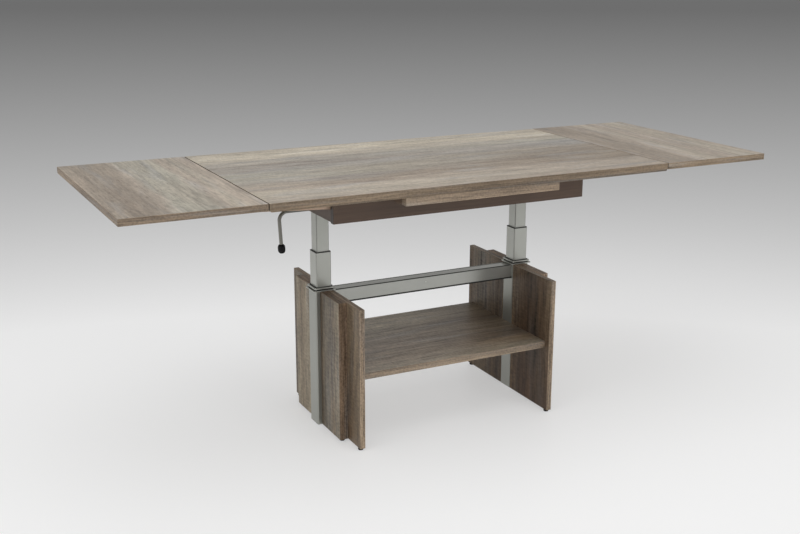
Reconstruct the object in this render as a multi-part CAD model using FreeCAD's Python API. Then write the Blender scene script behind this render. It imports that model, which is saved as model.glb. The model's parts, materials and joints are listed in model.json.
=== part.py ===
import FreeCAD, Part
import math
import os

# Draw-leaf table on two crank-driven telescopic columns, shown raised with both leaves drawn.
# X runs along the table, Y from the front to the back, Z up from the floor; left is -X.

# Table top and leaves
table_height = 750.0
top_length = 1200.0
top_depth = 700.0
top_thickness = 22.0
top_end_bevel = 4.0
leaf_length = 360.0
leaf_thickness = 18.0
leaf_seam = 2.5
board_ease = 0.8
store_gap_above = 1.0
store_gap_below = 3.0
store_gap_end = 7.0

# Sloped runners that carry the leaves
runner_width = 22.0
runner_depth = 25.0
runner_hold = 93.0
runner_setback = 42.0
runner_play = 0.8
runner_apron_gap = 1.5
runner_lane_gap = 8.0
runner_tip_length = 60.0
runner_tip_share = 0.45
stop_radius = 4.0
stop_proud = 5.0
leaf_overtravel = 8.0

# Loose top: pegs in the centre board
peg_radius = 6.0
peg_length = 48.0
peg_socket = 14.0
peg_play = 0.5
peg_inset = 83.0
peg_y = 100.0
peg_tip = 3.0

# Apron frame
apron_inset = 110.0
apron_thickness = 18.0
end_apron_thickness = 16.0
end_apron_setback = 1.5
end_apron_lift = 2.5
lipping_depth = 25.0
lipping_inset = 3.0

# Head rails that tie the columns to the aprons
rail_width = 60.0
rail_height = 22.0
rail_wall = 3.0
rail_gap = 7.5
rail_end_gap = 15.5

# Telescopic columns
column_spacing = 650.0
outer_tube = 54.0
outer_wall = 2.0
outer_corner = 4.0
mid_tube = 46.0
mid_wall = 2.0
mid_corner = 3.5
inner_tube = 38.0
inner_wall = 2.0
inner_corner = 3.0
column_top = 408.0
mid_rise_share = 0.447
mid_length = 218.0
inner_overlap = 88.0
slide_play = 0.4
bush_height = 16.0
bush_lip = 2.0

# Collars on the outer tubes
collar_width = 68.0
collar_depth = 64.0
collar_thickness = 3.0
collar_corner = 5.0
gasket_width = 55.0
gasket_thickness = 3.0
wiper_wall = 2.2
wiper_proud = 1.0
ring_width = 60.0
ring_thickness = 4.5
ring_corner = 4.5

# Lift drive: cross shaft, mitre gears, spindles and nuts
shaft_radius = 4.5
gear_teeth = 16
gear_module = 1.375
gear_addendum_share = 0.9
gear_dedendum_share = 1.2
gear_face_share = 0.42
gear_root_share = 0.60
gear_tip_share = 0.22
gear_hub_radius = 7.0
shaft_hub_length = 4.5
spindle_hub_length = 6.0
key_play = 0.05
spindle_radius = 6.0
journal_radius = 5.0
thrust_radius = 10.0
thrust_height = 3.0
spindle_tail = 25.0
bearing_drop = 23.0
bearing_height = 6.0
running_play = 0.3
post_radius = 12.0
post_wall = 3.0
nut_height = 20.0
nut_spigot = 12.0
foot_plate = 5.0
foot_plate_play = 0.2
bush_radius = 6.6
bush_flange_radius = 8.5
bush_flange = 2.0
bush_inside = 1.0
bush_fit = 0.1

# Crank
crank_radius = 5.0
crank_reach = 102.0
crank_bend = 15.0
crank_length = 117.0
crank_lean_degrees = 3.3
crank_inset = 8.0
crank_gap = 6.0
knob_radius = 10.5
knob_length = 27.0
knob_bore_depth = 19.0
knob_shares = ((0.72, 0.0), (0.92, 0.22), (1.0, 0.5), (0.96, 0.76), (0.8, 0.93), (0.5, 1.0))
knob_play = 0.3

# Base panels, shelf, crossbeam and glides
panel_foot = 7.0
inner_panel = 16.0
outer_panel = 25.0
panel_inset = 6.0
panel_step = 80.0
shelf_height = 220.0
shelf_thickness = 19.0
shelf_setback = 19.0
beam_width = 40.0
beam_height = 43.0
beam_wall = 3.0
beam_drop = 2.0
beam_round = 2.8
beam_bend = 3.5
beam_plate = 6.0
cover_thickness = 2.0
cover_groove = 2.5
cover_drop = 1.0
glide_radius = 7.5
glide_taper = 1.5
glide_inset = 14.0

# Levels and half sizes that follow from the values above
top_half = top_length / 2
depth_half = top_depth / 2
top_under = table_height - top_thickness
leaf_under = table_height - leaf_thickness
leaf_inner = top_half + leaf_seam
leaf_outer = leaf_inner + leaf_length
leaf_travel = leaf_outer - top_half
leaf_fall = top_thickness + store_gap_above
runner_slope = leaf_fall / leaf_travel
centre_thickness = leaf_thickness + store_gap_above + store_gap_below
centre_half = top_half - leaf_length - store_gap_end
runner_reach = centre_half - runner_hold
peg_x = centre_half - peg_inset
column_x = column_spacing / 2
column_half = outer_tube / 2
rail_half = rail_width / 2
apron_front = depth_half - apron_inset
apron_inside = apron_front - apron_thickness
end_apron_back = column_x + rail_half + rail_end_gap
end_apron_face = end_apron_back + end_apron_thickness
apron_half = end_apron_face + end_apron_setback
rail_reach = column_x - rail_half
rail_top = top_under - runner_play - runner_slope * (top_half - rail_reach) - runner_depth - rail_gap
inner_top = rail_top - rail_height
gear_radius = gear_teeth * gear_module / 2
gear_tip = gear_radius + gear_module * gear_addendum_share
shaft_height = inner_top - gear_tip - bush_fit
apron_top = top_under - centre_thickness
apron_bottom = shaft_height + crank_radius + crank_gap
collar_top = column_top + collar_thickness + gasket_thickness + ring_thickness
mid_top = collar_top + mid_rise_share * (shaft_height - collar_top)
mid_bottom = mid_top - mid_length
inner_bottom = mid_top - inner_overlap
inner_cavity = inner_tube - 2 * inner_wall
mid_cavity = mid_tube - 2 * mid_wall
outer_cavity = outer_tube - 2 * outer_wall
panel_inside = column_x - column_half
inner_panel_front = apron_front - panel_inset
outer_panel_front = inner_panel_front - panel_step
shelf_front = inner_panel_front - shelf_setback
nut_top = column_top - collar_thickness
post_top = nut_top - nut_height
collar_hole = mid_tube + 2 * slide_play
wiper_width = collar_hole + 2 * wiper_wall
ring_hole = wiper_width + 2 * key_play
crank_corner = column_x + inner_tube / 2 + crank_reach
crank_lean = math.radians(crank_lean_degrees)
sides = {"left": -1, "right": 1}
ends = {"front": -1, "back": 1}


def block(xs, ys, zs):
    """A box between two limits on each axis, given in either order."""
    low = FreeCAD.Vector(min(xs), min(ys), min(zs))
    return Part.makeBox(abs(xs[1] - xs[0]), abs(ys[1] - ys[0]), abs(zs[1] - zs[0]), low)


def board(xs, ys, zs):
    """A panel with all its edges eased."""
    shape = block(xs, ys, zs)
    return shape.makeChamfer(board_ease, shape.Edges)


def prism(points, y_from, y_to):
    """A closed outline in the XZ plane, swept along Y."""
    corners = [FreeCAD.Vector(x, y_from, z) for x, z in points]
    face = Part.Face(Part.makePolygon(corners + corners[:1]))
    return face.extrude(FreeCAD.Vector(0, y_to - y_from, 0))


def rod(radius, start, along, length):
    """A round bar from a point in a given direction."""
    return Part.makeCylinder(radius, length, FreeCAD.Vector(*start), FreeCAD.Vector(*along))


def square_bar(width, depth, corner, x, z_from, z_to):
    """An upright bar on the centre line with rounded corners."""
    shape = block((x - width / 2, x + width / 2), (-depth / 2, depth / 2), (z_from, z_to))
    upright = [edge for edge in shape.Edges if edge.BoundBox.ZLength > (z_to - z_from) / 2]
    return shape.makeFillet(corner, upright)


def square_tube(width, wall, corner, x, z_from, z_to):
    """An upright square tube with one wall thickness all round."""
    outside = square_bar(width, width, corner, x, z_from, z_to)
    inside = width - 2 * wall
    return outside.cut(square_bar(inside, inside, max(corner - wall, wall / 2), x, z_from, z_to))


def turned(profile):
    """A solid of revolution about Z from (radius, height) points."""
    points = [FreeCAD.Vector(r, 0, z) for r, z in profile]
    face = Part.Face(Part.makePolygon(points + points[:1]))
    return face.revolve(FreeCAD.Vector(0, 0, 0), FreeCAD.Vector(0, 0, 1), math.degrees(2 * math.pi))


def placed(shape, x, y, z, axis=None, degrees=0):
    """A copy of a shape, turned about an axis through its origin and then moved."""
    copy = shape.copy()
    if axis is not None:
        copy.rotate(FreeCAD.Vector(0, 0, 0), FreeCAD.Vector(*axis), degrees)
    copy.translate(FreeCAD.Vector(x, y, z))
    return copy


def save(name, *solids):
    """Write one named piece, or one group of like pieces."""
    shape = solids[0] if len(solids) == 1 else Part.makeCompound(list(solids))
    shape.exportStep(os.path.join("parts", name + ".step"))


def runner_upper(reach):
    """Height of a runner's sloped upper edge at a distance from the table's middle."""
    return top_under - runner_play + runner_slope * (reach - top_half)


def runner_lower(reach):
    """Height of a runner's lower edge, parallel to the upper one."""
    return runner_upper(reach) - runner_depth


def runner_lane(side):
    """Inner and outer Y of a leaf's two runners; the two leaves keep separate lanes."""
    outside = apron_inside - runner_apron_gap
    if side > 0:
        outside -= runner_width + runner_lane_gap
    return outside - runner_width, outside


def main_top():
    """The loose top, bevelled under its ends, with blind sockets for the pegs."""
    outline = [(-top_half + top_end_bevel, top_under), (top_half - top_end_bevel, top_under),
               (top_half, top_under + top_end_bevel), (top_half, table_height),
               (-top_half, table_height), (-top_half, top_under + top_end_bevel)]
    shape = prism(outline, -depth_half, depth_half)
    upper = [edge for edge in shape.Edges if edge.BoundBox.ZMin > table_height - board_ease]
    shape = shape.makeChamfer(board_ease, upper)
    for x, y in peg_places():
        shape = shape.cut(rod(peg_radius + key_play, (x, y, top_under), (0, 0, 1), peg_socket))
    return shape


def peg_places():
    """Plan positions of the pegs under the top."""
    return [(x, y) for x in (-peg_x, peg_x) for y in (-peg_y, peg_y)]


def top_pegs():
    """Turned pegs that keep the loose top in place on the centre board."""
    peg = turned([(0, -peg_length), (peg_radius - peg_tip, -peg_length),
                  (peg_radius, -peg_length + peg_tip), (peg_radius, peg_socket), (0, peg_socket)])
    return [placed(peg, x, y, top_under) for x, y in peg_places()]


def leaf(side):
    """One draw leaf, level with the top."""
    return board((side * leaf_inner, side * leaf_outer), (-depth_half, depth_half),
                 (leaf_under, table_height))


def runner(side, end):
    """A tapered runner: level under its leaf, sloping down towards the middle of the table."""
    heel = top_half + (leaf_under - runner_upper(top_half)) / runner_slope
    tail = leaf_outer - runner_setback
    tip_rise = runner_depth * runner_tip_share
    outline = [(heel, leaf_under), (tail, leaf_under), (tail, runner_lower(tail)),
               (runner_reach + runner_tip_length, runner_lower(runner_reach + runner_tip_length)),
               (runner_reach, runner_lower(runner_reach) + tip_rise),
               (runner_reach, runner_upper(runner_reach))]
    lane = runner_lane(side)
    shape = prism([(side * x, z) for x, z in outline], end * lane[0], end * lane[1])
    hole = rod(stop_radius + key_play, stop_place(side, end), (0, end, 0), runner_width + stop_proud)
    return shape.cut(hole)


def stop_place(side, end):
    """Inner end of the stop peg that meets the inside of the end apron."""
    reach = end_apron_back - leaf_overtravel - stop_radius
    height = runner_upper(reach) - runner_depth / 2
    return side * reach, end * (runner_lane(side)[0] - stop_proud), height


def runner_stops(side):
    """The pegs that stop both runners of a leaf against the end apron."""
    length = stop_proud + runner_width
    return [rod(stop_radius, stop_place(side, end), (0, end, 0), length) for end in ends.values()]


def centre_board():
    """The fixed board between the stored leaves, with through holes for the pegs."""
    half = depth_half - lipping_inset - lipping_depth
    shape = block((-centre_half, centre_half), (-half, half), (apron_top, top_under))
    for x, y in peg_places():
        shape = shape.cut(rod(peg_radius + peg_play, (x, y, apron_top), (0, 0, 1), centre_thickness))
    return shape


def lipping(end):
    """A rail on the centre board's front or back edge that fills in between the stored leaves."""
    face = depth_half - lipping_inset
    return block((-centre_half, centre_half), (end * face, end * (face - lipping_depth)),
                 (apron_top, top_under))


def long_apron(end):
    """A front or back apron board, as long as the frame."""
    return board((-apron_half, apron_half), (end * apron_front, end * apron_inside),
                 (apron_bottom, apron_top))


def end_apron(side):
    """An end apron between the long ones, notched for this side's runners."""
    shape = block((side * end_apron_face, side * end_apron_back), (-apron_inside, apron_inside),
                  (apron_bottom + end_apron_lift, apron_top))
    floor = runner_lower(end_apron_back) - runner_play
    lane = runner_lane(side)
    for end in ends.values():
        sides_y = (end * (lane[0] - runner_play), end * (lane[1] + runner_play))
        shape = shape.cut(block((0, side * apron_half), sides_y, (floor, apron_top)))
    return shape


def head_rail(side):
    """A folded steel tray across the frame, on top of the inner tube and between the long aprons."""
    middle = side * column_x
    shape = block((middle - rail_half, middle + rail_half), (-apron_inside, apron_inside),
                  (inner_top, rail_top))
    tray = block((middle - rail_half + rail_wall, middle + rail_half - rail_wall),
                 (-apron_inside + rail_wall, apron_inside - rail_wall), (inner_top + rail_wall, rail_top))
    return shape.cut(tray)


def inner_column(side):
    """The smallest tube, fixed to the head rail, with bored walls for the shaft bushes."""
    middle = side * column_x
    shape = square_tube(inner_tube, inner_wall, inner_corner, middle, inner_bottom, inner_top)
    start = (middle - inner_tube, 0, shaft_height)
    return shape.cut(rod(bush_radius + bush_fit, start, (1, 0, 0), 2 * inner_tube))


def inner_bushes():
    """Plastic guide sleeves round the lower ends of the inner tubes."""
    sleeves = []
    for side in sides.values():
        middle = side * column_x
        width = mid_cavity - 2 * slide_play
        sleeve = square_bar(width, width, mid_corner - mid_wall, middle,
                            inner_bottom, inner_bottom + bush_height)
        core = inner_tube + 2 * key_play
        bore = square_bar(core, core, inner_corner, middle, inner_bottom, inner_bottom + bush_height)
        sleeves.append(sleeve.cut(bore))
    return sleeves


def spindle_bearings():
    """Blocks inside the inner tubes that hang the spindles."""
    blocks = []
    top = shaft_height - bearing_drop
    for side in sides.values():
        middle = side * column_x
        under = top - bearing_height
        body = square_bar(inner_cavity, inner_cavity, inner_corner - inner_wall, middle, under, top)
        bore = rod(journal_radius + running_play, (middle, 0, under), (0, 0, 1), bearing_height)
        blocks.append(body.cut(bore))
    return blocks


def bush(bore):
    """A flanged bush with its flange on the outside of a tube wall, pointing along +Z."""
    barrel = inner_wall + bush_inside
    return turned([(bore, -barrel), (bush_radius, -barrel), (bush_radius, 0),
                   (bush_flange_radius, 0), (bush_flange_radius, bush_flange), (bore, bush_flange)])


def shaft_bushes():
    """Bushes in the inner tubes for the crank and the cross shaft."""
    bushes = []
    for side in sides.values():
        for face in (-1, 1):
            is_crank = side < 0 and face < 0
            bore = crank_radius if is_crank else shaft_radius
            x = side * column_x + face * inner_tube / 2
            bushes.append(placed(bush(bore + running_play), x, 0, shaft_height, (0, 1, 0), face * 90))
    return bushes


def gear_outline(scale):
    """Tooth outline of a mitre gear in the plane at this share of its cone, apex at the origin."""
    root = gear_radius - gear_module * gear_dedendum_share
    pitch = 2 * math.pi / gear_teeth
    points = []
    for tooth in range(gear_teeth):
        middle = tooth * pitch
        for radius, share in ((root, -gear_root_share), (gear_tip, -gear_tip_share),
                              (gear_tip, gear_tip_share), (root, gear_root_share)):
            angle = middle + share * pitch / 2
            points.append(FreeCAD.Vector(scale * radius * math.cos(angle), scale * radius * math.sin(angle),
                                         -scale * gear_radius))
    return points


def flat_face(points):
    """A plane face with these corners."""
    return Part.Face(Part.makePolygon(points + points[:1]))


def mitre_gear(hub_length, bore):
    """A bevel gear whose teeth all run to one apex, with a hub behind it and a bore."""
    heel = gear_outline(1)
    toe = gear_outline(1 - gear_face_share)
    flanks = [flat_face([heel[i - 1], heel[i], toe[i], toe[i - 1]]) for i in range(len(heel))]
    teeth = Part.Solid(Part.Shell(flanks + [flat_face(heel), flat_face(toe)]))
    hub = rod(gear_hub_radius, (0, 0, -gear_radius - hub_length), (0, 0, 1), hub_length + gear_module)
    length = 2 * (gear_radius + hub_length)
    return teeth.fuse(hub).cut(rod(bore, (0, 0, -length), (0, 0, 1), length)).removeSplitter()


def spindle_gear(side):
    """The mitre gear on top of a spindle."""
    gear = mitre_gear(spindle_hub_length, journal_radius + key_play)
    return placed(gear, side * column_x, 0, shaft_height)


def shaft_gear(side):
    """The mitre gear on the cross shaft, half a tooth out of step so that it meshes."""
    gear = mitre_gear(shaft_hub_length, shaft_radius + key_play)
    gear.rotate(FreeCAD.Vector(0, 0, 0), FreeCAD.Vector(0, 0, 1), math.degrees(math.pi / gear_teeth))
    return placed(gear, side * column_x, 0, shaft_height, (0, 1, 0), -90)


def cross_shaft():
    """The bar that turns both spindles together."""
    start = -column_x - journal_radius
    finish = column_x + inner_tube / 2
    return rod(shaft_radius, (start, 0, shaft_height), (1, 0, 0), finish - start)


def spindle(side):
    """A lift spindle: journal, thrust shoulder and the long screw that runs down into the nut."""
    top = -gear_radius * (1 - gear_face_share) - bush_fit
    shoulder = -bearing_drop - bearing_height - running_play
    tail = post_top - spindle_tail - shaft_height
    shape = turned([(0, tail), (journal_radius, tail), (spindle_radius, tail + peg_tip),
                    (spindle_radius, shoulder - thrust_height), (thrust_radius, shoulder - thrust_height),
                    (thrust_radius, shoulder), (journal_radius, shoulder), (journal_radius, top), (0, top)])
    return placed(shape, side * column_x, 0, shaft_height)


def crank():
    """The bent crank: a round shank through the bush, one bend and an arm down to the knob."""
    start = FreeCAD.Vector(-column_x - inner_tube / 2 + crank_inset, 0, shaft_height)
    turn = math.pi / 2 + crank_lean
    setback = crank_bend / math.tan((math.pi - turn) / 2)
    corner = FreeCAD.Vector(-crank_corner, 0, shaft_height)
    into = corner + FreeCAD.Vector(setback, 0, 0)
    centre = into - FreeCAD.Vector(0, 0, crank_bend)
    middle = centre + FreeCAD.Vector(-crank_bend * math.sin(turn / 2), 0, crank_bend * math.cos(turn / 2))
    out = corner + arm_direction() * setback
    finish = corner + arm_direction() * (crank_length - knob_length + knob_bore_depth - knob_play)
    path = Part.Wire([Part.LineSegment(start, into).toShape(), Part.Arc(into, middle, out).toShape(),
                      Part.LineSegment(out, finish).toShape()])
    section = Part.Wire(Part.makeCircle(crank_radius, start, FreeCAD.Vector(-1, 0, 0)))
    return path.makePipeShell([section], True, False)


def arm_direction():
    """Direction of the crank arm, leaning a little towards the column."""
    return FreeCAD.Vector(math.sin(crank_lean), 0, -math.cos(crank_lean))


def crank_knob():
    """The rounded knob that spins on the end of the crank arm."""
    bore = crank_radius + knob_play
    outline = [(0, knob_bore_depth), (bore, knob_bore_depth), (bore, 0)]
    outline += [(share * knob_radius, height * knob_length) for share, height in knob_shares]
    shape = turned(outline + [(0, knob_length)])
    start = FreeCAD.Vector(-crank_corner, 0, shaft_height) + arm_direction() * (crank_length - knob_length)
    return placed(shape, start.x, start.y, start.z, (0, 1, 0), 180 - crank_lean_degrees)


def mid_column(side):
    """The middle tube, which follows the inner one at half its travel."""
    return square_tube(mid_tube, mid_wall, mid_corner, side * column_x, mid_bottom, mid_top)


def mid_bushes(side):
    """Plastic guides of a middle tube: a lipped sleeve in its mouth and a ring round its foot."""
    middle = side * column_x
    bore = inner_tube + 2 * slide_play
    lip = square_bar(mid_tube, mid_tube, mid_corner, middle, mid_top, mid_top + bush_lip)
    mouth = mid_cavity - 2 * key_play
    sleeve = square_bar(mouth, mouth, mid_corner - mid_wall, middle, mid_top - bush_height, mid_top)
    hole = square_bar(bore, bore, inner_corner, middle, mid_top - bush_height, mid_top + bush_lip)
    width = outer_cavity - 2 * slide_play
    foot = square_bar(width, width, outer_corner - outer_wall, middle, mid_bottom, mid_bottom + bush_height)
    core = mid_tube + 2 * key_play
    grip = square_bar(core, core, mid_corner, middle, mid_bottom, mid_bottom + bush_height)
    return [lip.fuse(sleeve).cut(hole).removeSplitter(), foot.cut(grip)]


def outer_column(side):
    """The outer tube, which stands on the floor between the base panels."""
    return square_tube(outer_tube, outer_wall, outer_corner, side * column_x, panel_foot, column_top)


def spindle_post(side):
    """A foot plate in the outer tube with the standing tube that carries its spindle nut."""
    middle = side * column_x
    width = outer_cavity - 2 * foot_plate_play
    plate = square_bar(width, width, outer_corner - outer_wall, middle, panel_foot, panel_foot + foot_plate)
    length = post_top - panel_foot
    tube = rod(post_radius, (middle, 0, panel_foot), (0, 0, 1), length)
    bore = rod(post_radius - post_wall, (middle, 0, panel_foot + foot_plate), (0, 0, 1), length)
    return plate.fuse(tube).cut(bore).removeSplitter()


def spindle_nut(side):
    """The flanged nut on top of a spindle post."""
    bore = spindle_radius + running_play
    spigot = post_radius - post_wall - key_play
    shape = turned([(bore, -nut_spigot), (spigot, -nut_spigot), (spigot, 0), (post_radius, 0),
                    (post_radius, nut_height), (bore, nut_height)])
    return placed(shape, side * column_x, 0, post_top)


def collar_layer(width, depth, corner, hole, low, thickness):
    """One layer of both collars: a plate with rounded corners and a square hole."""
    layers = []
    for side in sides.values():
        middle = side * column_x
        plate = square_bar(width, depth, corner, middle, low, low + thickness)
        layers.append(plate.cut(square_bar(hole, hole, mid_corner, middle, low, low + thickness)))
    return layers


def collar_gaskets(low):
    """The soft layers of both collars, each with a lip inside the ring that wipes the middle tube."""
    corner = mid_corner + wiper_wall
    flanges = collar_layer(gasket_width, gasket_width, ring_corner, collar_hole, low, gasket_thickness)
    height = gasket_thickness + ring_thickness + wiper_proud
    lips = collar_layer(wiper_width, wiper_width, corner, collar_hole, low, height)
    return [flange.fuse(lip).removeSplitter() for flange, lip in zip(flanges, lips)]


def base_panel(side, end, inner):
    """One upright base panel; the inner ones reach further to the front and back."""
    if inner:
        across = (panel_inside, panel_inside + inner_panel)
        reach = inner_panel_front
    else:
        across = (panel_inside + inner_panel, panel_inside + inner_panel + outer_panel)
        reach = outer_panel_front
    return board((side * across[0], side * across[1]), (end * column_half, end * reach),
                 (panel_foot, column_top))


def shelf():
    """The shelf between the inner panels."""
    return board((-panel_inside, panel_inside), (-shelf_front, shelf_front),
                 (shelf_height - shelf_thickness, shelf_height))


def long_edges(shape, level):
    """The edges of a beam that run along X at this height."""
    return [edge for edge in shape.Edges
            if edge.BoundBox.XLength > beam_width and abs(edge.BoundBox.Center.z - level) < key_play]


def crossbeam():
    """A folded channel between the columns, open at the top: bent edges below, rounded ones above."""
    half = beam_width / 2
    reach = panel_inside - beam_plate
    top = column_top - beam_drop
    shape = block((-reach, reach), (-half, half), (top - beam_height, top))
    shape = shape.makeFillet(beam_round, long_edges(shape, top))
    shape = shape.makeFillet(beam_bend, long_edges(shape, top - beam_height))
    trough = block((-reach, reach), (-half + beam_wall, half - beam_wall),
                   (top - beam_height + beam_wall, top))
    return shape.cut(trough)


def beam_cover():
    """The strip that closes the channel, with a narrow groove along each side."""
    half = beam_width / 2 - beam_wall - cover_groove
    reach = panel_inside - beam_plate
    top = column_top - beam_drop - cover_drop
    return block((-reach, reach), (-half, half), (top - cover_thickness, top))


def beam_plates():
    """End plates that join the crossbeam to the columns."""
    half = beam_width / 2
    top = column_top - beam_drop
    return [block((side * panel_inside, side * (panel_inside - beam_plate)), (-half, half),
                  (top - beam_height, top))
            for side in sides.values()]


def glides():
    """Round glides near the outer end of every panel's lower edge."""
    glide = turned([(0, 0), (glide_radius - glide_taper, 0), (glide_radius, glide_taper),
                    (glide_radius, panel_foot), (0, panel_foot)])
    inner_x = panel_inside + inner_panel / 2
    outer_x = panel_inside + inner_panel + outer_panel / 2
    places = []
    for side in sides.values():
        for end in ends.values():
            places.append((side * inner_x, end * (inner_panel_front - glide_inset)))
            places.append((side * outer_x, end * (outer_panel_front - glide_inset)))
    return [placed(glide, x, y, 0) for x, y in places]


def build():
    """Write every piece of the table."""
    os.makedirs("parts", exist_ok=True)
    save("main_top", main_top())
    save("top_pegs", *top_pegs())
    save("centre_board", centre_board())
    save("inner_tube_bushes", *inner_bushes())
    save("spindle_bearings", *spindle_bearings())
    save("shaft_bushes", *shaft_bushes())
    save("cross_shaft", cross_shaft())
    save("crank", crank())
    save("crank_knob", crank_knob())
    gasket_low = column_top + collar_thickness
    ring_low = gasket_low + gasket_thickness
    plates = collar_layer(collar_width, collar_depth, collar_corner, collar_hole,
                          column_top, collar_thickness)
    rings = collar_layer(ring_width, ring_width, ring_corner, ring_hole, ring_low, ring_thickness)
    save("collar_plates", *plates)
    save("collar_gaskets", *collar_gaskets(gasket_low))
    save("collar_rings", *rings)
    save("shelf", shelf())
    save("crossbeam", crossbeam())
    save("beam_cover", beam_cover())
    save("beam_end_plates", *beam_plates())
    save("glides", *glides())
    save("spindle_posts", *[spindle_post(side) for side in sides.values()])
    save("spindle_nuts", *[spindle_nut(side) for side in sides.values()])
    for name, end in ends.items():
        save(name + "_lipping", lipping(end))
        save(name + "_apron", long_apron(end))
    for name, side in sides.items():
        build_side(name, side)


def build_side(name, side):
    """Write the pieces that the table has once at each end."""
    save(name + "_leaf", leaf(side))
    save(name + "_runner_stops", *runner_stops(side))
    save(name + "_end_apron", end_apron(side))
    save(name + "_head_rail", head_rail(side))
    save(name + "_inner_tube", inner_column(side))
    save(name + "_shaft_gear", shaft_gear(side))
    save(name + "_spindle", spindle(side))
    save(name + "_spindle_gear", spindle_gear(side))
    save(name + "_mid_tube", mid_column(side))
    save(name + "_mid_bushes", *mid_bushes(side))
    save(name + "_outer_tube", outer_column(side))
    for end_name, end in ends.items():
        save(name + "_" + end_name + "_runner", runner(side, end))
        save(name + "_" + end_name + "_inner_panel", base_panel(side, end, True))
        save(name + "_" + end_name + "_outer_panel", base_panel(side, end, False))


build()
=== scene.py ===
import json
import math

import bpy
import numpy as np
from mathutils import Matrix, Vector


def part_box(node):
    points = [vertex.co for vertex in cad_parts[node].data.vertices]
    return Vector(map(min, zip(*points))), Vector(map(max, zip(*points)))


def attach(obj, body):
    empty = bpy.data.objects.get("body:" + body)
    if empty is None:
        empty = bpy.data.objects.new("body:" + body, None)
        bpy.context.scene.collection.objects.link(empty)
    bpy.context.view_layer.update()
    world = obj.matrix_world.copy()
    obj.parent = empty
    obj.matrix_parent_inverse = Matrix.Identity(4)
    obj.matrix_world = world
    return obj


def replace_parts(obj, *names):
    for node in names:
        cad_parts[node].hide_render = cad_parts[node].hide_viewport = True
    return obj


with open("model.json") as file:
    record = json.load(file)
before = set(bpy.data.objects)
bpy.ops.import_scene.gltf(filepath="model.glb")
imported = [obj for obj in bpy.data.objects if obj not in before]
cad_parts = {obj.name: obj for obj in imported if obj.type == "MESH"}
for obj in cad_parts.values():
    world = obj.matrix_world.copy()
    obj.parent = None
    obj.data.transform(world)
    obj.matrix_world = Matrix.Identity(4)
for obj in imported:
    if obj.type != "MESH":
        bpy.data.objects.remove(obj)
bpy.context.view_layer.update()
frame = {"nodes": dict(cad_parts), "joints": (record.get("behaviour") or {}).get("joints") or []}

# Glides: eight turned nylon feet, black and rounded at the rim, pressed into the lower edges
# of the base panels near their outer corners. They are all that touches the floor.
glide_inset = 0.014
glide_radius = 0.0075
glide_rim = 0.002
glide_sides = 28
glide_steps = 5


def tone(red, green, blue):
    """A colour as it is seen, from 0 to 255, as the linear values that a shader takes."""
    seen = np.array([red, green, blue]) / 255
    return (*(((seen + 0.055) / 1.055) ** 2.4).tolist(), 1.0)


def node(tree, kind, inputs=None, **settings):
    """A node with its settings and inputs; an input is a value or the socket that feeds it."""
    made = tree.nodes.new("ShaderNode" + kind)
    for name, value in settings.items():
        setattr(made, name, value)
    for key, value in (inputs or {}).items():
        if isinstance(value, bpy.types.NodeSocket):
            tree.links.new(value, made.inputs[key])
        else:
            made.inputs[key].default_value = value
    return made


def calc(tree, operation, *values):
    """One sum on single values."""
    return node(tree, "Math", dict(enumerate(values)), operation=operation).outputs[0]


def spots(tree, vector, per_metre, detail=2.0, rough=0.5):
    """Noise from 0 to 1 with this many spots to the metre along each axis."""
    scaled = node(tree, "VectorMath", {0: vector, 1: per_metre}, operation="MULTIPLY").outputs[0]
    inputs = {"Vector": scaled, "Scale": 1.0, "Detail": detail, "Roughness": rough}
    return node(tree, "TexNoise", inputs).outputs["Fac"]


def graded(tree, value, low, high, to_low, to_high):
    """A value carried evenly from one range to another, and held at its ends."""
    limits = {"Value": value, "From Min": low, "From Max": high, "To Min": to_low, "To Max": to_high}
    return node(tree, "MapRange", limits).outputs[0]


def mixed(tree, share, first, second):
    """A colour between two colours."""
    return node(tree, "Mix", {0: share, 6: first, 7: second}, data_type="RGBA").outputs[2]


def new_group(name, takes, gives):
    """An empty shader group with named inputs and outputs."""
    tree = bpy.data.node_groups.new(name, "ShaderNodeTree")
    for label, kind in takes.items():
        tree.interface.new_socket(label, in_out="INPUT", socket_type="NodeSocket" + kind)
    for label, kind in gives.items():
        tree.interface.new_socket(label, in_out="OUTPUT", socket_type="NodeSocket" + kind)
    return tree, tree.nodes.new("NodeGroupInput").outputs, tree.nodes.new("NodeGroupOutput").inputs


def grouped(tree, group, inputs):
    """The outputs of a placed group, with its inputs set or fed."""
    return node(tree, "Group", inputs, node_tree=group).outputs


def new_finish(name, constants):
    """A material and its shader, with the values that are the same all over it."""
    material = bpy.data.materials.new(name)
    material.use_nodes = True
    shader = material.node_tree.nodes["Principled BSDF"]
    for label, value in constants.items():
        shader.inputs[label].default_value = value
    return material, material.node_tree, shader


def place_of(tree):
    """Where a point of the piece is, in metres."""
    return node(tree, "TexCoord").outputs["Object"]


def facing_of(tree):
    """Which way the piece faces at a point."""
    return node(tree, "TexCoord").outputs["Normal"]


def split(tree, vector):
    """A vector's X, Y and Z."""
    return node(tree, "SeparateXYZ", {0: vector}).outputs


def raised(tree, shader, height, depth):
    """Relief of this depth in metres on the shader's surface."""
    bump = node(tree, "Bump", {"Height": height, "Distance": depth, "Strength": 1.0})
    tree.links.new(bump.outputs[0], shader.inputs["Normal"])


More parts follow.
